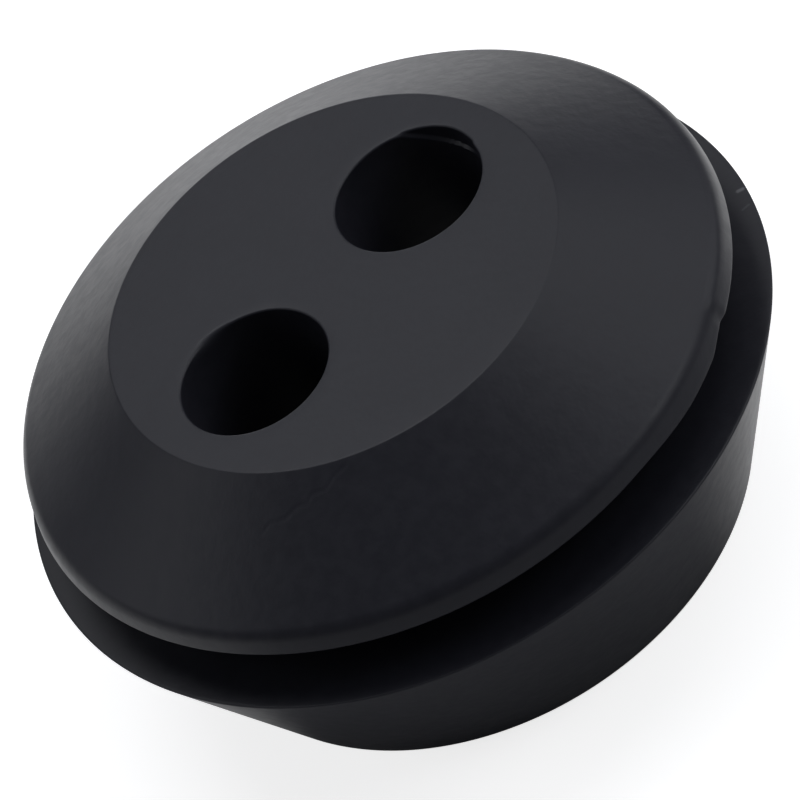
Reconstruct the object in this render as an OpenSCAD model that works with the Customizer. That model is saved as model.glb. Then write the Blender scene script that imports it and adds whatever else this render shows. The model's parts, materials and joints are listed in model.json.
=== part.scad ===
// Two-hole rubber grommet for a tank or panel wall, moulded in one piece.
// A groove round its waist grips the wall, a coned lip holds it on one side,
// a tapered flange on the other, and two bores each grip a small hose.
// Millimetres. +Z runs up the axis, the base stands on z = 0, and the two
// bores lie on the X axis, one each side of the middle.

/* [Panel groove] */
// Diameter of the groove's floor, the size of the hole that it sits in
groove_d = 18; // [16:0.5:26]
// Width of the groove, the thickness of wall that it grips
groove_w = 1.6; // [1:0.1:4]

/* [Lower flange] */
// How far the lower flange stands out past the groove's floor
flange_reach = 3.05; // [1.5:0.05:5]
// Height of the lower flange
flange_h = 6.3; // [4:0.1:10]
// Diameter of the flat base that the lower flange tapers down to
base_d = 17.9; // [16:0.1:20]

/* [Upper lip] */
// How far the lip stands out past the groove's floor
lip_reach = 2.25; // [1.25:0.25:4]
// How much further out the lip's edge stands at its foot than at its top
lip_draft = 0.12; // [0:0.02:0.4]
// Height of the lip's edge
lip_t = 0.7; // [0.5:0.1:2]
// Height of the cone from the lip's edge up to the top face
cone_h = 2.65; // [1:0.05:5]

/* [Hose bores] */
// Diameter of each bore, a little under the hose that it grips
bore_d = 4.7; // [3:0.1:5.5]
// Rubber left between the two bores
bore_web = 2.7; // [1.5:0.1:3.5]
// Rubber left between each bore and the edge of the top face
face_margin = 1.15; // [0.6:0.05:1.5]

/* [Rounded edges] */
// Radius where the base turns up into the flange's wall
base_round = 0.3; // [0.1:0.05:0.8]
// Radius along the lower flange's widest edge
rim_round = 0.12; // [0.05:0.01:0.8]
// Radius in both corners of the groove's floor
groove_round = 0.25; // [0.1:0.05:0.5]
// Radius under the lip's edge
lip_under_round = 0.12; // [0.05:0.01:0.3]
// Radius where the lip's edge turns into the cone
lip_round = 0.6; // [0.1:0.05:0.8]
// Radius where the cone turns into the top face
face_round = 0.2; // [0.1:0.1:2]
// Radius at both mouths of each bore
mouth_round = 0.12; // [0.05:0.01:0.3]

/* [Hidden] */

// Straight steps in each rounded corner
corner_steps = 5;
// The most of an edge's length that one rounded corner takes up
corner_share = 0.45;
// How far a cutter runs out past the face that it opens
cutter_over = 1;

groove_r = groove_d / 2;
flange_r = groove_r + flange_reach;
base_r = base_d / 2;
lip_r = groove_r + lip_reach;
bore_r = bore_d / 2;
bore_x = bore_web / 2 + bore_r;
face_r = bore_x + bore_r + face_margin;

groove_top = flange_h + groove_w;
lip_top = groove_top + lip_t;
total_h = lip_top + cone_h;

function unit(v) = v / norm(v);
function turned(v, angle) =
    [v.x * cos(angle) - v.y * sin(angle), v.x * sin(angle) + v.y * cos(angle)];

// The points of an arc that rounds a corner between its two neighbours. An arc
// too large for the shorter edge beside it is made as large as fits.
function rounded_corner(before, corner, after, radius) =
    let (
        back = unit(before - corner),
        ahead = unit(after - corner),
        half = acos(back * ahead) / 2,
        room = corner_share * min(norm(before - corner), norm(after - corner)),
        fitted = min(radius, room * tan(half)),
        centre = corner + unit(back + ahead) * fitted / sin(half),
        start = corner + back * fitted / tan(half) - centre,
        sweep = (2 * half - 180) * sign(cross(back, ahead))
    )
    [for (i = [0:corner_steps]) centre + turned(start, sweep * i / corner_steps)];

// Half of the section, as corners and the radius of each, from the middle of
// the base out and up to the middle of the top face
section_corners = [
    [[0, 0], 0],
    [[base_r, 0], base_round],
    [[flange_r, flange_h], rim_round],
    [[groove_r, flange_h], groove_round],
    [[groove_r, groove_top], groove_round],
    [[lip_r + lip_draft, groove_top], lip_under_round],
    [[lip_r, lip_top], lip_round],
    [[face_r, total_h], face_round],
    [[0, total_h], 0]
];

function section_points(corners) = [
    for (i = [0:len(corners) - 1])
        each corners[i][1] == 0
            ? [corners[i][0]]
            : rounded_corner(corners[i - 1][0], corners[i][0], corners[i + 1][0], corners[i][1])
];

// A quarter arc that opens a bore's mouth from its wall out to the face
function mouth_arc(wall_z, face_z) = [
    for (i = [0:corner_steps])
        let (angle = 90 * i / corner_steps)
            [bore_r + mouth_round * (1 - cos(angle)), wall_z + (face_z - wall_z) * sin(angle)]
];

function reversed(points) = [for (i = [len(points) - 1:-1:0]) points[i]];

// The solid body, turned from its section
module turned_body() {
    rotate_extrude($fn = 160)
        polygon(section_points(section_corners));
}

// What one bore takes away: a straight hole that flares at both mouths
module bore_cutter() {
    mouth_r = bore_r + mouth_round;
    rotate_extrude($fn = 96)
        polygon(concat(
            [[0, -cutter_over], [mouth_r, -cutter_over]],
            reversed(mouth_arc(mouth_round, 0)),
            mouth_arc(total_h - mouth_round, total_h),
            [[mouth_r, total_h + cutter_over], [0, total_h + cutter_over]]
        ));
}

module grommet() {
    color([0.14, 0.14, 0.15])
        difference() {
            turned_body();
            for (side = [-1, 1])
                translate([side * bore_x, 0, 0])
                    bore_cutter();
        }
}

grommet();
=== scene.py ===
"""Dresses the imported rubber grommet: one moulded piece, a pale floor and soft studio light.

Every object is in metres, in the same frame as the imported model.
"""

import json
import math

import bmesh
import bpy
from mathutils import Matrix, Vector


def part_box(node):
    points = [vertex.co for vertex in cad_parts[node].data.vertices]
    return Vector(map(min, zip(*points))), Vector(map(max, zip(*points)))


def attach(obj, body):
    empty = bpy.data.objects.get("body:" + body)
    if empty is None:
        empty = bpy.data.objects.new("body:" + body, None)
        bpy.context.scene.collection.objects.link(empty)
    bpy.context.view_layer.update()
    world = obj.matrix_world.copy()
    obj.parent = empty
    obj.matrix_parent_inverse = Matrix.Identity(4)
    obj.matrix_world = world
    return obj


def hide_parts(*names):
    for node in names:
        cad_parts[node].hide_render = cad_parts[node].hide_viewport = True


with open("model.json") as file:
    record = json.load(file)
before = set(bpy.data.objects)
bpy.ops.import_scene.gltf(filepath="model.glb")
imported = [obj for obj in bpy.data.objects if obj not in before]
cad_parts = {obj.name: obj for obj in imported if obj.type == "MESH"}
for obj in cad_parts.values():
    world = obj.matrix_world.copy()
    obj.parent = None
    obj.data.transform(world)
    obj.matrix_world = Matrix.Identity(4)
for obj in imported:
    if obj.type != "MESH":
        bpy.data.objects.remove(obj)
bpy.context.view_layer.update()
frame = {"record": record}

bl_info = {
    "name": "Rubber grommet",
    "version": (1, 0, 0),
    "blender": (4, 5, 0),
    "location": "3D View > Sidebar > Grommet",
    "description": "Models a two-hole rubber grommet and lights it on a pale floor",
    "category": "Add Mesh",
}

MM = 0.001
NODE = "grommet"

NODE_LOW, NODE_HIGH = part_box(NODE)
RIGHT_BORE = next(m for m in frame["record"]["mounts"] if m["name"] == "hose_bore_right")

# How far the rim's sharp corner lies outside its rounded edge, in millimetres
RIM_SPARE = 0.022


# Sizes and finishes that a user would change

def length_size(name, description, millimetres):
    """A size in the sidebar, given here in millimetres."""
    return bpy.props.FloatProperty(
        name=name,
        description=description,
        default=millimetres * MM,
        min=0.0,
        unit="LENGTH",
        subtype="DISTANCE",
        precision=5,
    )


def fraction(name, description, default):
    """A number from 0 to 1 in the sidebar."""
    return bpy.props.FloatProperty(
        name=name,
        description=description,
        default=default,
        min=0.0,
        max=1.0,
        subtype="FACTOR",
    )


def colour(name, description, default):
    """A colour in the sidebar."""
    return bpy.props.FloatVectorProperty(
        name=name,
        description=description,
        default=default,
        size=3,
        min=0.0,
        max=1.0,
        subtype="COLOR",
    )


class GrommetSizes(bpy.types.PropertyGroup):
    """The grommet's section, bores and rounded edges."""

    groove_r: length_size("Groove radius", "Radius of the groove's floor", 9.0)
    groove_w: length_size("Groove width", "Width of the groove", 1.68)
    flange_r: length_size(
        "Flange radius",
        "Radius of the lower flange before its edge is rounded",
        NODE_HIGH.x / MM + RIM_SPARE,
    )
    flange_h: length_size("Flange height", "Height of the lower flange", 6.3)
    base_r: length_size("Base radius", "Radius of the flat base", 8.95)
    lip_r: length_size("Lip radius", "Radius of the lip's edge at its top", 11.23)
    lip_draft: length_size("Lip draft", "How much further out the lip stands at its foot", 0.14)
    lip_t: length_size("Lip thickness", "Height of the lip's edge", 0.7)
    height: length_size("Height", "Height of the whole grommet", (NODE_HIGH.z - NODE_LOW.z) / MM)
    face_r: length_size("Top face radius", "Radius of the flat top face", 7.2)
    bore_r: length_size("Bore radius", "Radius of each bore", RIGHT_BORE["dims"]["r_mm"])
    bore_x: length_size(
        "Bore place", "Distance of each bore from the middle", RIGHT_BORE["pos_m"][0] / MM
    )
    base_round: length_size("Base rounding", "Radius where the base meets the wall", 0.3)
    rim_round: length_size("Rim rounding", "Radius along the flange's edge", 0.05)
    groove_round: length_size("Groove rounding", "Radius in the groove's corners", 0.25)
    lip_under_round: length_size("Lower lip rounding", "Radius under the lip's edge", 0.12)
    lip_round: length_size("Upper lip rounding", "Radius where the lip turns into the cone", 0.6)
    face_round: length_size("Face rounding", "Radius where the cone turns into the face", 0.1)
    mouth_round: length_size("Mouth rounding", "Radius at the mouths of the bores", 0.07)
    sides: bpy.props.IntProperty(
        name="Sides", description="Straight steps round the grommet", default=480, min=64, max=640
    )


class RubberFinish(bpy.types.PropertyGroup):
    """The moulded rubber's colours, sheen and grain."""

    skin: colour("Skin colour", "Colour of the moulded skin", (0.0170, 0.0174, 0.0235))
    bloom: colour(
        "Bloom colour", "Colour of the faint grey bloom on the skin", (0.0215, 0.0220, 0.0290)
    )
    scuff: colour("Scuff colour", "Colour of the small pale scuffs", (0.11, 0.11, 0.12))
    skin_roughness: fraction("Skin roughness", "Roughness of the moulded skin", 0.42)
    rough_spread: fraction("Roughness spread", "How far the roughness varies over the skin", 0.05)
    grain: length_size("Grain size", "Size of the fine grain", 0.10)
    mottle: length_size("Mottle size", "Size of the soft unevenness", 0.45)
    grain_depth: length_size("Grain depth", "Height of the fine grain", 0.0009)
    mottle_depth: length_size("Mottle depth", "Height of the soft unevenness", 0.004)


class StudioLook(bpy.types.PropertyGroup):
    """The floor and the lights."""

    floor: colour("Floor colour", "Colour of the floor", (0.70, 0.70, 0.70))
    lamp_light: colour("Lamp colour", "Colour of the lamps", (0.95, 0.965, 1.0))
    air: colour("Air colour", "Colour of the light from all round", (0.90, 0.92, 1.0))
    air_level: fraction("Air level", "Strength of the light from all round", 0.09)
    backdrop_level: fraction(
        "Backdrop level", "How much of the white backdrop the camera sees", 0.78
    )
    # The gloss sees a painted glow on the floor, of this strength and on this side
    painted_gloss_level: fraction("Gloss level", "How much of the white backdrop shows in gloss", 0.92)
    painted_glow_turn: bpy.props.FloatProperty(
        name="Gloss turn",
        description="The side on which the gloss shows the backdrop, as a turn from +X",
        default=math.radians(78.0),
        subtype="ANGLE",
        unit="ROTATION",
    )


# Small helpers for modelling

# How far a point may lie from a ring and still count as on it
RING_SLACK = 0.01 * MM


def select_nothing():
    """Leaves edit mode and deselects every object."""
    if bpy.context.object and bpy.context.object.mode != "OBJECT":
        bpy.ops.object.mode_set(mode="OBJECT")
    bpy.ops.object.select_all(action="DESELECT")


def start_alone(piece):
    """Selects this piece and nothing else."""
    select_nothing()
    piece.select_set(True)
    bpy.context.view_layer.objects.active = piece


def add_disc(name, radius, place, sides):
    """A flat round face, the start of a turned piece, left in edit mode."""
    select_nothing()
    bpy.ops.mesh.primitive_circle_add(
        vertices=sides, radius=radius, fill_type="NGON", location=place
    )
    piece = bpy.context.object
    piece.name = name
    piece.data.name = name
    bpy.ops.object.transform_apply(location=True, rotation=True, scale=True)
    bpy.ops.object.mode_set(mode="EDIT")
    bpy.ops.mesh.select_all(action="SELECT")
    return piece


def draw_up(rings, middle):
    """Extrudes the selected face through rings of radius and height about an upright line."""
    (radius, height), rest = rings[0], rings[1:]
    for next_radius, next_height in rest:
        bpy.ops.mesh.extrude_region_move(
            TRANSFORM_OT_translate={"value": (0.0, 0.0, next_height - height)}
        )
        if next_radius != radius:
            scale = next_radius / radius
            bpy.ops.transform.resize(
                value=(scale, scale, 1.0), center_override=(middle[0], middle[1], next_height)
            )
        radius, height = next_radius, next_height


def tidy_faces():
    """Makes every face of the piece in edit mode point outwards."""
    bpy.ops.mesh.select_all(action="SELECT")
    bpy.ops.mesh.normals_make_consistent(inside=False)
    bpy.ops.mesh.select_all(action="DESELECT")


def pick(piece, kind, wanted):
    """Selects the points, edges or faces that pass a test, in edit mode."""
    bpy.ops.mesh.select_mode(type={"verts": "VERT", "edges": "EDGE", "faces": "FACE"}[kind])
    bpy.ops.mesh.select_all(action="DESELECT")
    mesh = bmesh.from_edit_mesh(piece.data)
    found = [part for part in getattr(mesh, kind) if wanted(part)]
    if not found:
        raise RuntimeError("nothing was found to select on " + piece.name)
    for part in found:
        part.select_set(True)
    mesh.select_flush_mode()
    bmesh.update_edit_mesh(piece.data)


def on_ring(radius, height):
    """A test for the edges that lie along a ring."""

    def wanted(edge):
        for point in edge.verts:
            place = point.co
            if abs(place.z - height) > RING_SLACK or abs(place.xy.length - radius) > RING_SLACK:
                return False
        return True

    return wanted


def half_angle(before, corner, after):
    """Half of the angle between the two sides that meet at a corner of the section."""
    back = Vector(before) - Vector(corner)
    ahead = Vector(after) - Vector(corner)
    return back.angle(ahead) / 2


def tangent_length(radius, half):
    """How far from a corner its rounding starts."""
    return radius / math.tan(half)


def between(first, last, first_gap, last_gap, count):
    """Evenly spaced rings along a side of the section, clear of its rounded corners."""
    first = Vector(first)
    last = Vector(last)
    side = last - first
    length = side.length
    start = first_gap / length
    stop = 1.0 - last_gap / length
    step = stop - start
    return [tuple(first + side * (start + step * i / (count - 1))) for i in range(count)]


def press(piece, name, amount, weight_at, direction="NORMAL"):
    """Moves the skin by an amount, weighted by place, along its normals or along one axis."""
    start_alone(piece)
    group = piece.vertex_groups.new(name=name)
    for point in piece.data.vertices:
        weight = weight_at(point.co)
        if weight > 0.0:
            group.add([point.index], min(weight, 1.0), "REPLACE")
    change = piece.modifiers.new(name, "DISPLACE")
    change.strength = amount
    change.direction = direction
    change.mid_level = 0.0
    change.vertex_group = name
    bpy.ops.object.modifier_apply(modifier=change.name)
    piece.vertex_groups.remove(piece.vertex_groups[name])


def smooth_step(low, high, value):
    """0 below low, 1 above high, and a soft rise between."""
    t = min(1.0, max(0.0, (value - low) / (high - low)))
    return t * t * (3.0 - 2.0 * t)


def falloff(distance, reach):
    """1 at no distance, falling softly to 0 at reach."""
    return 1.0 - smooth_step(0.0, reach, abs(distance))


def turn_of(place):
    """The turn round the axis from +X, in degrees from -180 to 180."""
    return math.degrees(math.atan2(place.y, place.x))


def around(turn, radius, height):
    """A place from its turn in degrees, distance from the axis and height."""
    angle = math.radians(turn)
    return Vector((radius * math.cos(angle), radius * math.sin(angle), height))


# The section of the body

WALL_RINGS = 9
CONE_RINGS = 18
FLANGE_TOP_RINGS = 14
UNDER_LIP_RINGS = 6
CORNER_STEPS = 6
# How far the rings along a side stay clear of its rounded corners
RING_GAP = 0.06 * MM


def section_corners(size):
    """The corners of the section from the base up: radius, height and rounding."""
    groove_top = size.flange_h + size.groove_w
    lip_top = groove_top + size.lip_t
    return (
        (size.base_r, 0.0, size.base_round),
        (size.flange_r, size.flange_h, size.rim_round),
        (size.groove_r, size.flange_h, size.groove_round),
        (size.groove_r, groove_top, size.groove_round),
        (size.lip_r + size.lip_draft, groove_top, size.lip_under_round),
        (size.lip_r, lip_top, size.lip_round),
        (size.face_r, size.height, size.face_round),
    )


def section_rings(corners):
    """All rings from the base up, also along the long sides, and each corner's bevel width."""
    ends = [(0.0, 0.0)] + [c[:2] for c in corners] + [(0.0, corners[-1][1])]
    widths = []
    for i, corner in enumerate(corners):
        half = half_angle(ends[i], ends[i + 1], ends[i + 2])
        widths.append(tangent_length(corner[2], half))
    counts = {0: WALL_RINGS, 1: FLANGE_TOP_RINGS, 3: UNDER_LIP_RINGS, 5: CONE_RINGS}
    rings = []
    for i, corner in enumerate(corners):
        rings.append(corner[:2])
        if i in counts:
            rings += between(
                corner[:2],
                corners[i + 1][:2],
                widths[i] + RING_GAP,
                widths[i + 1] + RING_GAP,
                counts[i],
            )
    return rings, widths


def turn_body(size):
    """The solid body, drawn up ring by ring from the base, with its corners rounded."""
    corners = section_corners(size)
    rings, widths = section_rings(corners)
    body = add_disc("grommet_moulding", size.base_r, (0.0, 0.0, 0.0), size.sides)
    draw_up(rings, (0.0, 0.0))
    tidy_faces()
    for corner, width in zip(corners, widths):
        pick(body, "edges", on_ring(corner[0], corner[1]))
        bpy.ops.mesh.bevel(
            offset_type="OFFSET",
            offset=width,
            segments=CORNER_STEPS,
            profile=0.5,
            affect="EDGES",
            clamp_overlap=True,
        )
    tidy_faces()
    bpy.ops.object.mode_set(mode="OBJECT")
    return body


# The bores

CUTTER_OVER = 4.0 * MM
MOUTH_STEPS = 5
BORE_SIDES = 240
# The wall just inside the upper mouth has close rings, for the marks pressed into it
FINE_DEPTH = 1.0 * MM
FINE_RINGS = 26
# The width of the band along the edges of the top face, and how its faces are found
FACE_BAND = 0.3 * MM
FACE_SLACK = 0.001 * MM
FACE_UPRIGHT = 0.9999


def mouth_rings(size, top):
    """Rings that flare a cutter out to a face at this height, from the wall to the face."""
    rings = []
    for i in range(MOUTH_STEPS + 1):
        angle = math.radians(90.0 * i / MOUTH_STEPS)
        out = size.bore_r + size.mouth_round * (1.0 - math.cos(angle))
        drop = size.mouth_round * (1.0 - math.sin(angle))
        rings.append((out, top - drop if top > 0.0 else drop))
    return rings


def bore_cutter(size, x):
    """What one bore takes away: a straight hole that flares at both mouths, left in edit mode."""
    mouth_r = size.bore_r + size.mouth_round
    cutter = add_disc("bore_cutter", mouth_r, (x, 0.0, -CUTTER_OVER), BORE_SIDES)
    low = mouth_rings(size, 0.0)[::-1]
    high = mouth_rings(size, size.height)
    start = size.height - size.mouth_round - FINE_DEPTH
    fine = [(size.bore_r, start + FINE_DEPTH * i / FINE_RINGS) for i in range(FINE_RINGS)]
    ends = [(mouth_r, -CUTTER_OVER), (mouth_r, size.height + CUTTER_OVER)]
    draw_up(ends[:1] + low + fine + high + ends[1:], (x, 0.0))
    tidy_faces()
    return cutter


def take_away(piece, cutter):
    """Cuts a cutter out of a piece and deletes the cutter."""
    bpy.ops.object.mode_set(mode="OBJECT")
    start_alone(piece)
    cut = piece.modifiers.new("cut", "BOOLEAN")
    cut.operation = "DIFFERENCE"
    cut.solver = "EXACT"
    cut.object = cutter
    bpy.ops.object.modifier_apply(modifier=cut.name)
    start_alone(cutter)
    bpy.ops.object.delete()


def band_face(body, size):
    """Sets a narrow band along all edges of the top face, so that marks beside it leave it flat."""
    start_alone(body)
    bpy.ops.object.mode_set(mode="EDIT")

    def on_top(face):
        gap = abs(face.calc_center_median().z - size.height)
        return gap < FACE_SLACK and face.normal.z > FACE_UPRIGHT

    pick(body, "faces", on_top)
    bpy.ops.mesh.inset(thickness=FACE_BAND, depth=0.0, use_boundary=True, use_even_offset=True)
    bpy.ops.object.mode_set(mode="OBJECT")


# Wear and small flaws, pressed into the finished moulding

# The crease on the cone: turn in degrees and distance from the axis in millimetres
CREASE_PATH = (
    (-134.9, 7.37),
    (-138.6, 7.58),
    (-140.8, 7.83),
    (-144.0, 7.86),
    (-145.2, 8.06),
    (-147.6, 8.10),
    (-150.4, 8.36),
    (-153.9, 8.44),
    (-155.4, 8.66),
    (-157.8, 8.77),
)
CREASE_DEEP = 0.009 * MM
CREASE_WIDE = 0.09 * MM
# How high its inner side is raised, as a part of its depth, and where along it both fade out
CREASE_RAISED = 0.12
CREASE_FADE = 0.75
# The skin is divided this far from it
CREASE_NEAR = 0.45 * MM

# The lip's flaws fade out between these distances in from its edge
LIP_FADE = (0.25 * MM, 0.02 * MM)
# They reach this far below the lip's foot and this far above its top
LIP_BELOW = 0.02 * MM
LIP_ABOVE = 0.35 * MM
# The lip stands out between these turns, with a soft start and a quick end at the nick
SWELL_OUT = 0.06 * MM
SWELL_START = (12.0, -22.0)
SWELL_END = (-64.5, -61.0)
# The nick
NICK_TURN = -63.2
NICK_REACH = 1.8
NICK_IN = 0.035 * MM
# Beyond the nick the lip hangs lower and further out
HANG_START = (-64.5, -70.0)
HANG_END = (-93.0, -76.0)
HANG_OUT = 0.03 * MM
HANG_DOWN = 0.16 * MM
# In front the lip's foot sags
SAG_TURN = -120.0
SAG_REACH = 60.0
SAG_DOWN = 0.09 * MM
# What moves only the foot of the lip fades out between these heights
FOOT_FADE = (0.62 * MM, 0.12 * MM)
# The skin is divided between these turns, and from this far in, below and above
RAGGED_TURNS = (-96.0, -57.0)
RAGGED_IN = 0.5 * MM
RAGGED_BELOW = 0.05 * MM
RAGGED_ABOVE = 0.4 * MM

# Pale scuffs on the flange's upper side: each end's turn and distance, the scuff's half width
# and its strength
SCUFFS = (
    ((-29.2, 11.70 * MM), (-29.3, 11.86 * MM), 0.10 * MM, 1.0),
    ((-33.2, 11.58 * MM), (-32.8, 11.80 * MM), 0.07 * MM, 0.25),
)
# The middle part of a scuff's half width that has its full strength
SCUFF_CORE = 0.2
# The scar under a scuff, and how far round it the skin is divided
SCAR_UP = 0.02 * MM
SCAR_NEAR = 0.12 * MM

# The ledge inside the right-hand bore's mouth: the turn in which it falls, how steeply, and how
# far from the bore's middle it would meet the top face
LEDGE_TURN = -5.0
LEDGE_SLOPE = 0.687
LEDGE_START = 1.349 * MM
# How softly it starts below its line, and how far it stands in
LEDGE_SOFT = 0.045 * MM
LEDGE_OUT = 0.12 * MM
# Its sharp end, what is left of its depth there, and the turn at which it has its full depth
LEDGE_END = -19.0
LEDGE_END_SOFT = 1.5
LEDGE_END_SHARE = 0.42
LEDGE_FULL = 12.0
# It stays within this turn to either side
LEDGE_TURNS = 75.0

# The worn part of the left-hand bore's mouth
WORN_TURN = 82.0
WORN_REACH = 30.0
WORN_ROUND = 0.30 * MM
WORN_SHARE = 0.6


def cone_height(size, radius):
    """The height of the cone's surface at a distance from the axis."""
    lip_top = size.flange_h + size.groove_w + size.lip_t
    up = (size.lip_r - radius) / (size.lip_r - size.face_r)
    return lip_top + (size.height - lip_top) * up


def to_path(place, path):
    """Distance from a place to a path of straight steps, and how far along it, from 0 to 1."""
    best = (1.0, 0.0)
    for i in range(len(path) - 1):
        step = path[i + 1] - path[i]
        t = min(1.0, max(0.0, (place - path[i]).dot(step) / step.length_squared))
        distance = (path[i] + step * t - place).length
        if distance < best[0]:
            best = (distance, (i + t) / (len(path) - 1))
    return best


def refine(piece, wanted, cuts):
    """Divides the faces that pass a test, so that fine marks can be pressed into them."""
    start_alone(piece)
    bpy.ops.object.mode_set(mode="EDIT")
    pick(piece, "faces", wanted)
    bpy.ops.mesh.subdivide(number_cuts=cuts)
    bpy.ops.object.mode_set(mode="OBJECT")


def press_crease(body, size):
    """A short crooked crease on the cone, with one side a little raised."""
    path = [around(turn, r * MM, cone_height(size, r * MM)) for turn, r in CREASE_PATH]

    def close_by(face):
        return to_path(face.calc_center_median(), path)[0] < CREASE_NEAR

    def sunk(place):
        distance, along = to_path(place, path)
        return falloff(distance, CREASE_WIDE) * smooth_step(1.0, CREASE_FADE, along)

    def raised(place):
        distance, along = to_path(place, path)
        inside = path[round(along * (len(path) - 1))].xy.length > place.xy.length
        side = falloff(distance - CREASE_WIDE, CREASE_WIDE)
        return side * smooth_step(1.0, CREASE_FADE, along) * inside

    refine(body, close_by, 3)
    press(body, "crease", -CREASE_DEEP, sunk)
    press(body, "crease side", CREASE_RAISED * CREASE_DEEP, raised)


def lip_share(size, place):
    """1 on the lip's edge, falling to 0 a little way up the cone and in under the lip."""
    low = size.flange_h + size.groove_w
    if place.z < low - LIP_BELOW or place.z > low + size.lip_t + LIP_ABOVE:
        return 0.0
    far_in, near_edge = LIP_FADE
    return smooth_step(size.lip_r - far_in, size.lip_r - near_edge, place.xy.length)


def press_lip(body, size):
    """The lip stands out up to a small nick, hangs lower beyond it and sags in front."""
    low = size.flange_h + size.groove_w - RAGGED_BELOW
    high = low + size.lip_t + RAGGED_ABOVE

    def ragged_face(face):
        place = face.calc_center_median()
        near = place.xy.length > size.lip_r - RAGGED_IN
        first, last = RAGGED_TURNS
        return near and first < turn_of(place) < last and low < place.z < high

    refine(body, ragged_face, 2)

    def on_foot(place):
        top, full = FOOT_FADE
        return lip_share(size, place) * smooth_step(low + top, low + full, place.z)

    def sag(place):
        return on_foot(place) * falloff(turn_of(place) - SAG_TURN, SAG_REACH)

    def swell(place):
        turn = turn_of(place)
        along = smooth_step(*SWELL_START, turn) * smooth_step(*SWELL_END, turn)
        return lip_share(size, place) * along

    def nick(place):
        return on_foot(place) * falloff(turn_of(place) - NICK_TURN, NICK_REACH)

    def hanging(place):
        turn = turn_of(place)
        return on_foot(place) * smooth_step(*HANG_END, turn) * smooth_step(*HANG_START, turn)

    press(body, "lip sag", -SAG_DOWN, sag, "Z")
    press(body, "lip swell", SWELL_OUT, swell)
    press(body, "lip nick", -NICK_IN, nick)
    press(body, "lip hanging out", HANG_OUT, hanging)
    press(body, "lip hanging down", -HANG_DOWN, hanging, "Z")


def press_scars(body, size):
    """Two low scars on the flange's upper side, under the pale scuffs."""
    for first, last, reach, strength in SCUFFS:
        ends = [around(*first, size.flange_h), around(*last, size.flange_h)]
        near = reach + SCAR_NEAR

        def close_by(face):
            return to_path(face.calc_center_median(), ends)[0] < near

        def raised(place):
            return falloff(to_path(place, ends)[0], reach)

        refine(body, close_by, 2)
        press(body, "scar", SCAR_UP * strength, raised)


def near_mouth(size, aside):
    """Whether a place, measured from a bore's mouth, lies on its wall or just beside it."""
    return aside.xy.length <= size.bore_r + 0.5 * FACE_BAND


def press_ledge(body, size):
    """A thin slanting ledge inside the right-hand bore's mouth, ending sharply on one side."""
    middle = Vector((size.bore_x, 0.0, size.height))
    down = around(LEDGE_TURN, 1.0, 0.0)

    def above(place):
        aside = place - middle
        turn = turn_of(aside)
        if abs(turn) > LEDGE_TURNS or aside.z < -FINE_DEPTH or not near_mouth(size, aside):
            return 0.0
        over = LEDGE_SLOPE * (aside.dot(down) - LEDGE_START) + aside.z
        rise = smooth_step(LEDGE_END, LEDGE_FULL, turn)
        share = LEDGE_END_SHARE + (1.0 - LEDGE_END_SHARE) * rise
        end = smooth_step(LEDGE_END - LEDGE_END_SOFT, LEDGE_END + LEDGE_END_SOFT, turn)
        return share * end * smooth_step(-LEDGE_SOFT, LEDGE_SOFT, over)

    press(body, "ledge", LEDGE_OUT, above, "X")


def press_mouth(body, size):
    """The left-hand bore's mouth is worn rounder on its far side."""
    middle = Vector((-size.bore_x, 0.0, size.height))

    def worn(place):
        aside = place - middle
        depth = max(0.0, -aside.z)
        if depth > WORN_ROUND or not near_mouth(size, aside):
            return 0.0
        out = 1.0 - math.sqrt(1.0 - (1.0 - depth / WORN_ROUND) ** 2)
        return out * falloff(turn_of(aside) - WORN_TURN, WORN_REACH)

    press(body, "worn mouth", WORN_SHARE * WORN_ROUND, worn, "Y")


def wear_and_flaws(body, size):
    """All the small marks that the real moulding shows."""
    press_crease(body, size)
    press_lip(body, size)
    press_scars(body, size)
    press_ledge(body, size)
    press_mouth(body, size)


# Node groups of the rubber

# How much broader than the fine mottle the broad one is, as a part of its scale
BROAD_SCALE = 0.14


def new_group(name, inputs, outputs):
    """An empty shader node group with named values going in and out."""
    group = bpy.data.node_groups.new(name, "ShaderNodeTree")
    for socket, default in inputs.items():
        made = group.interface.new_socket(socket, in_out="INPUT", socket_type="NodeSocketFloat")
        made.default_value = default
    for socket in outputs:
        group.interface.new_socket(socket, in_out="OUTPUT", socket_type="NodeSocketFloat")
    start = group.nodes.new("NodeGroupInput")
    end = group.nodes.new("NodeGroupOutput")
    return group, start, end


def object_place(tree):
    """The place on the object, in its own metres."""
    return tree.nodes.new("ShaderNodeTexCoord").outputs["Object"]


def maths(tree, operation, first, second):
    """A Math node between two sockets or numbers."""
    node = tree.nodes.new("ShaderNodeMath")
    node.operation = operation
    for socket, value in zip(node.inputs, (first, second)):
        if isinstance(value, (int, float)):
            socket.default_value = value
        else:
            tree.links.new(value, socket)
    return node.outputs[0]


def vectors(tree, operation, first, second=None):
    """A Vector Math node between two sockets or places."""
    node = tree.nodes.new("ShaderNodeVectorMath")
    node.operation = operation
    for socket, value in zip(node.inputs, (first, second)):
        if isinstance(value, bpy.types.NodeSocket):
            tree.links.new(value, socket)
        elif value is not None:
            socket.default_value = tuple(value)
    return node


def spread(tree, value, low, high, new_low=0.0, new_high=1.0, interpolation="SMOOTHSTEP"):
    """A Map Range node, with a soft rise unless told otherwise."""
    node = tree.nodes.new("ShaderNodeMapRange")
    node.interpolation_type = interpolation
    tree.links.new(value, node.inputs["Value"])
    node.inputs["From Min"].default_value = low
    node.inputs["From Max"].default_value = high
    node.inputs["To Min"].default_value = new_low
    node.inputs["To Max"].default_value = new_high
    return node.outputs["Result"]


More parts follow.
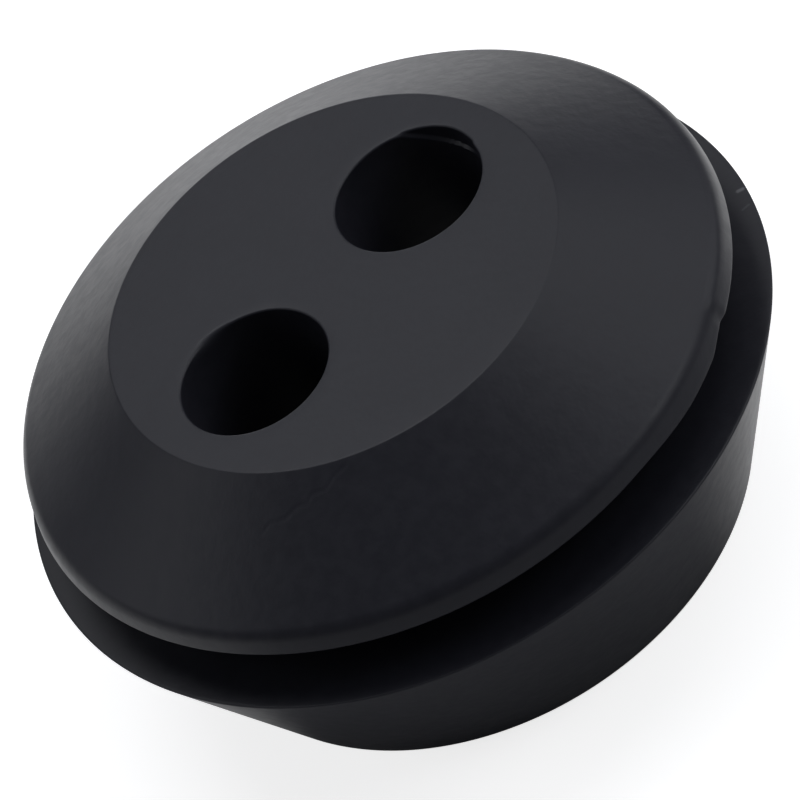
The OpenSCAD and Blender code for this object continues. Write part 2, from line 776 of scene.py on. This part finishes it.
def noise(tree, place, scale, detail, roughness):
    """A Noise Texture on the object's own place."""
    node = tree.nodes.new("ShaderNodeTexNoise")
    tree.links.new(place, node.inputs["Vector"])
    tree.links.new(scale, node.inputs["Scale"])
    node.inputs["Detail"].default_value = detail
    node.inputs["Roughness"].default_value = roughness
    return node.outputs["Fac"]


def grain_group():
    """Fine pitted grain of a moulded skin: its height and its pits, from a size in metres."""
    group, start, end = new_group("Moulded grain", {"Size": 0.12 * MM}, ("Height", "Pits"))
    place = object_place(group)
    scale = maths(group, "DIVIDE", 1.0, start.outputs["Size"])
    fine = noise(group, place, scale, 3.0, 0.6)
    group.links.new(fine, end.inputs["Height"])
    group.links.new(spread(group, fine, 0.56, 0.72), end.inputs["Pits"])
    return group


def mottle_group():
    """Soft unevenness that a mould leaves: a fine and a broad mask, from a size in metres."""
    group, start, end = new_group("Mould mottle", {"Size": 0.55 * MM}, ("Mask", "Broad"))
    place = object_place(group)
    scale = maths(group, "DIVIDE", 1.0, start.outputs["Size"])
    fine = noise(group, place, scale, 2.0, 0.55)
    broad = noise(group, place, maths(group, "MULTIPLY", scale, BROAD_SCALE), 3.0, 0.5)
    group.links.new(spread(group, fine, 0.25, 0.75), end.inputs["Mask"])
    group.links.new(spread(group, broad, 0.3, 0.7), end.inputs["Broad"])
    return group


def scuff_group(size):
    """Marks the pale scuffs: a mask that is soft along each short line."""
    group, _, end = new_group("Scuffs", {}, ("Mask",))
    place = object_place(group)
    total = None
    for first, last, reach, strength in SCUFFS:
        first = around(*first, size.flange_h)
        step = around(*last, size.flange_h) - first
        aside = vectors(group, "SUBTRACT", place, first).outputs["Vector"]
        along = vectors(group, "DOT_PRODUCT", aside, step / step.length_squared).outputs["Value"]
        along = spread(group, along, 0.0, 1.0, interpolation="LINEAR")
        nearest = vectors(group, "SCALE", step)
        group.links.new(along, nearest.inputs["Scale"])
        gap = vectors(group, "SUBTRACT", aside, nearest.outputs["Vector"]).outputs["Vector"]
        gap = vectors(group, "LENGTH", gap).outputs["Value"]
        mask = spread(group, gap, SCUFF_CORE * reach, reach, strength, 0.0)
        total = mask if total is None else maths(group, "MAXIMUM", total, mask)
    group.links.new(total, end.inputs["Mask"])
    return group


def group_node(tree, group, **values):
    """Places a node group in a material with its own values."""
    node = tree.nodes.new("ShaderNodeGroup")
    node.node_tree = group
    for name, value in values.items():
        node.inputs[name].default_value = value
    return node


def mix_colour(tree, mask, first, second):
    """A colour between two, by a mask."""
    node = tree.nodes.new("ShaderNodeMix")
    node.data_type = "RGBA"
    tree.links.new(mask, node.inputs["Factor"])
    for socket, value in (("A", first), ("B", second)):
        if isinstance(value, bpy.types.NodeSocket):
            tree.links.new(value, node.inputs[socket])
        else:
            node.inputs[socket].default_value = (*value, 1.0)
    return node.outputs["Result"]


def bump_node(tree, height, distance, normal=None):
    """A Bump node, on top of another where there is one."""
    node = tree.nodes.new("ShaderNodeBump")
    node.inputs["Strength"].default_value = 1.0
    node.inputs["Distance"].default_value = distance
    tree.links.new(height, node.inputs["Height"])
    if normal is not None:
        tree.links.new(normal, node.inputs["Normal"])
    return node.outputs["Normal"]


# How much of the bloom follows the fine mottle, and how much of the roughness the pits
BLOOM_FINE = 0.6
BLOOM_BROAD = 0.4
ROUGH_PITS = 0.6


def moulded_rubber(name, look, grain, mottle, scuffs):
    """Dull black rubber with a fine grain, a soft mottle, a faint bloom and two pale scuffs."""
    material = bpy.data.materials.new(name)
    material.use_nodes = True
    tree = material.node_tree
    skin = tree.nodes["Principled BSDF"]
    soft = group_node(tree, mottle, Size=look.mottle)
    fine = group_node(tree, grain, Size=look.grain)
    bloom = maths(tree, "MULTIPLY", soft.outputs["Mask"], BLOOM_FINE)
    broad = maths(tree, "MULTIPLY", soft.outputs["Broad"], BLOOM_BROAD)
    bloom = maths(tree, "ADD", bloom, broad)
    plain = mix_colour(tree, bloom, look.skin, look.bloom)
    marks = group_node(tree, scuffs)
    coloured = mix_colour(tree, marks.outputs["Mask"], plain, look.scuff)
    tree.links.new(coloured, skin.inputs["Base Color"])
    wide = look.rough_spread
    rough = maths(tree, "MULTIPLY", soft.outputs["Mask"], wide)
    pits = maths(tree, "MULTIPLY", fine.outputs["Pits"], wide * ROUGH_PITS)
    rough = maths(tree, "ADD", rough, pits)
    rough = maths(tree, "ADD", rough, look.skin_roughness - wide * ROUGH_PITS)
    tree.links.new(rough, skin.inputs["Roughness"])
    normal = bump_node(tree, soft.outputs["Mask"], look.mottle_depth)
    normal = bump_node(tree, fine.outputs["Height"], look.grain_depth, normal)
    tree.links.new(normal, skin.inputs["Normal"])
    skin.inputs["IOR"].default_value = 1.35
    return material


# The stage

# The camera's angles in degrees, and its places and lens in metres and millimetres
CAMERA_TILT = 42.885
CAMERA_ROLL = 31.993
CAMERA_TURN = 25.624
CAMERA_DISTANCE = 0.22515
CAMERA_ASIDE = 0.000991
CAMERA_UP = -0.001880
CAMERA_AIM = 0.0086
LENS = 341.684

# The lamps: name, turn from +X, height angle, width, length and power
LAMP_DISTANCE = 0.60
LAMPS = (
    ("right", 0.0, 35.0, 0.30, 0.30, 0.36),
    ("right_high", 0.0, 62.0, 0.30, 0.30, 0.51),
    ("front_right", 315.0, 35.0, 0.30, 0.30, 0.68),
    ("back_low", 60.0, 14.0, 0.26, 0.16, 0.31),
    ("back_high", 72.0, 62.0, 0.30, 0.30, 0.83),
    ("left", 135.0, 35.0, 0.30, 0.30, 0.32),
)

FLOOR_SIDE = 4.0
FLOOR_DROP = 0.02 * MM
# Where the floor's painted glow shows in gloss, as the cosine of the turn away from its bright
# side; in front it stays dark, a painted shadow of the grommet
GLOW_EDGE = (-0.35, -0.05)
# On the left the painted glow is weaker
GLOW_RIGHT = (0.94, 0.34, 0.0)
GLOW_FADE = (-0.70, 0.40)
GLOW_LEFT = 0.5
# It also glows round a spot close to the grommet, a painted pool of light that only the gloss shows
PAINTED_LIT_SPOT = (10.5 * MM, -6.0 * MM, 0.0)
PAINTED_LIT_SPOT_FADE = (3.0 * MM, 10.0 * MM)


def camera_axes():
    """The camera's right, up and back directions, fitted to the photograph's ellipses."""
    tilt = math.radians(CAMERA_TILT)
    turn = math.radians(CAMERA_TURN)
    roll = math.radians(CAMERA_ROLL)
    back = Vector(
        (-math.sin(turn) * math.cos(tilt), -math.cos(turn) * math.cos(tilt), math.sin(tilt))
    )
    level = Vector((math.cos(turn), -math.sin(turn), 0.0))
    upright = back.cross(level)
    right = level * math.cos(roll) - upright * math.sin(roll)
    up = level * math.sin(roll) + upright * math.cos(roll)
    return right, up, back


def place_camera():
    """The camera, where the photograph was taken from."""
    right, up, back = camera_axes()
    aim = Vector((0.0, 0.0, CAMERA_AIM))
    place = aim + back * CAMERA_DISTANCE + right * CAMERA_ASIDE + up * CAMERA_UP
    bpy.ops.object.camera_add(location=place)
    camera = bpy.context.object
    camera.name = "camera"
    turned = Matrix((right, up, back)).transposed()
    camera.rotation_euler = turned.to_euler()
    camera.data.sensor_width = 36.0
    camera.data.lens = LENS
    camera.data.clip_start = 0.01
    bpy.context.scene.camera = camera


def add_lamp(light, name, turn, height, width, length, power):
    """One soft lamp that faces the grommet."""
    turn = math.radians(turn)
    height = math.radians(height)
    away = Vector(
        (math.cos(turn) * math.cos(height), math.sin(turn) * math.cos(height), math.sin(height))
    )
    bpy.ops.object.light_add(type="AREA", location=away * LAMP_DISTANCE)
    lamp = bpy.context.object
    lamp.name = name
    lamp.data.shape = "RECTANGLE"
    lamp.data.size = width
    lamp.data.size_y = length
    lamp.data.energy = power
    lamp.data.color = light
    lamp.rotation_euler = away.to_track_quat("Z", "Y").to_euler()


def painted_floor_glow(tree, turn):
    """A mask of painted glow on the floor for the gloss: bright behind the grommet and close by it,
    dark in front as painted shadow.
    """
    place = object_place(tree)
    way = vectors(tree, "NORMALIZE", place).outputs["Vector"]
    facing = (math.cos(turn), math.sin(turn), 0.0)
    behind = vectors(tree, "DOT_PRODUCT", way, facing).outputs["Value"]
    behind = spread(tree, behind, *GLOW_EDGE)
    right = vectors(tree, "DOT_PRODUCT", way, GLOW_RIGHT).outputs["Value"]
    behind = maths(tree, "MULTIPLY", behind, spread(tree, right, *GLOW_FADE, GLOW_LEFT, 1.0))
    # A painted pool of light on the floor close by the grommet, seen only in gloss
    gap = vectors(tree, "DISTANCE", place, PAINTED_LIT_SPOT).outputs["Value"]
    close = spread(tree, gap, *PAINTED_LIT_SPOT_FADE, 1.0, 0.0)
    return maths(tree, "MAXIMUM", behind, close)


def floor_material(look):
    """A plain pale floor that the camera sees as white, and that keeps the shadow; the gloss sees a
    painted glow on it instead.
    """
    material = bpy.data.materials.new("pale floor")
    material.use_nodes = True
    tree = material.node_tree
    tree.nodes.clear()
    end = tree.nodes.new("ShaderNodeOutputMaterial")
    matt = tree.nodes.new("ShaderNodeBsdfDiffuse")
    matt.inputs["Color"].default_value = (*look.floor, 1.0)
    glow = tree.nodes.new("ShaderNodeEmission")
    path = tree.nodes.new("ShaderNodeLightPath")
    seen = maths(tree, "MULTIPLY", path.outputs["Is Camera Ray"], look.backdrop_level)
    # Glossy and transmission rays see the floor glow only inside the painted mask, which paints the
    # reflections and shade on the rubber
    painted_gloss_glow = maths(
        tree, "MAXIMUM", path.outputs["Is Glossy Ray"], path.outputs["Is Transmission Ray"]
    )
    painted_gloss_glow = maths(tree, "MULTIPLY", painted_gloss_glow, look.painted_gloss_level)
    painted_gloss_glow = maths(tree, "MULTIPLY", painted_gloss_glow, painted_floor_glow(tree, look.painted_glow_turn))
    seen = maths(tree, "MAXIMUM", seen, painted_gloss_glow)
    tree.links.new(seen, glow.inputs["Strength"])
    both = tree.nodes.new("ShaderNodeAddShader")
    tree.links.new(matt.outputs[0], both.inputs[0])
    tree.links.new(glow.outputs[0], both.inputs[1])
    tree.links.new(both.outputs[0], end.inputs["Surface"])
    return material


def light_the_air(look):
    """Plain light from all round."""
    world = bpy.data.worlds.new("studio air")
    world.use_nodes = True
    air = world.node_tree.nodes["Background"]
    air.inputs["Color"].default_value = (*look.air, 1.0)
    air.inputs["Strength"].default_value = look.air_level
    bpy.context.scene.world = world


# Operators, one for the moulding and one for the stage

# Points closer than this are one point, and edges that turn more than this stay sharp
MERGE_GAP = 0.001 * MM
SHARP_ANGLE = 35.0


class GROMMET_OT_moulding(bpy.types.Operator):
    """Models the grommet's one rubber moulding and gives it its finish"""

    bl_idname = "grommet.moulding"
    bl_label = "Grommet moulding"

    def execute(self, context):
        size = context.scene.grommet_sizes
        look = context.scene.grommet_finish
        body = turn_body(size)
        for x in (-size.bore_x, size.bore_x):
            take_away(body, bore_cutter(size, x))
        band_face(body, size)
        start_alone(body)
        bpy.ops.object.mode_set(mode="EDIT")
        bpy.ops.mesh.select_all(action="SELECT")
        bpy.ops.mesh.remove_doubles(threshold=MERGE_GAP)
        tidy_faces()
        wear_and_flaws(body, size)
        start_alone(body)
        bpy.ops.object.shade_smooth_by_angle(angle=math.radians(SHARP_ANGLE))
        even = body.modifiers.new("even shading", "WEIGHTED_NORMAL")
        even.keep_sharp = True
        even.weight = 100
        bpy.ops.object.modifier_apply(modifier=even.name)
        grain = grain_group()
        mottle = mottle_group()
        skin = moulded_rubber("moulded rubber", look, grain, mottle, scuff_group(size))
        body.data.materials.clear()
        body.data.materials.append(skin)
        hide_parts(NODE)
        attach(body, "root")
        return {"FINISHED"}


class GROMMET_OT_stage(bpy.types.Operator):
    """Sets up the pale floor, the soft lamps and the camera"""

    bl_idname = "grommet.stage"
    bl_label = "Grommet stage"

    def execute(self, context):
        look = context.scene.grommet_studio
        select_nothing()
        bpy.ops.mesh.primitive_plane_add(size=FLOOR_SIDE, location=(0.0, 0.0, -FLOOR_DROP))
        floor = context.object
        floor.name = "floor"
        floor.data.materials.append(floor_material(look))
        light_the_air(look)
        for lamp in LAMPS:
            add_lamp(look.lamp_light, *lamp)
        place_camera()
        context.scene.view_settings.view_transform = "Standard"
        return {"FINISHED"}


class GROMMET_PT_sidebar(bpy.types.Panel):
    """Lists the grommet's steps and sizes"""

    bl_label = "Grommet"
    bl_idname = "GROMMET_PT_sidebar"
    bl_space_type = "VIEW_3D"
    bl_region_type = "UI"
    bl_category = "Grommet"

    def draw(self, context):
        column = self.layout.column()
        column.operator(GROMMET_OT_moulding.bl_idname)
        column.operator(GROMMET_OT_stage.bl_idname)
        for group in (
            context.scene.grommet_sizes,
            context.scene.grommet_finish,
            context.scene.grommet_studio,
        ):
            column.separator()
            for name in group.__annotations__:
                column.prop(group, name)


CLASSES = (
    GrommetSizes,
    RubberFinish,
    StudioLook,
    GROMMET_OT_moulding,
    GROMMET_OT_stage,
    GROMMET_PT_sidebar,
)


def register():
    for item in CLASSES:
        bpy.utils.register_class(item)
    bpy.types.Scene.grommet_sizes = bpy.props.PointerProperty(type=GrommetSizes)
    bpy.types.Scene.grommet_finish = bpy.props.PointerProperty(type=RubberFinish)
    bpy.types.Scene.grommet_studio = bpy.props.PointerProperty(type=StudioLook)


def unregister():
    del bpy.types.Scene.grommet_studio
    del bpy.types.Scene.grommet_finish
    del bpy.types.Scene.grommet_sizes
    for item in reversed(CLASSES):
        bpy.utils.unregister_class(item)


def main():
    register()
    bpy.ops.grommet.moulding()
    bpy.ops.grommet.stage()


if __name__ == "__main__":
    main()
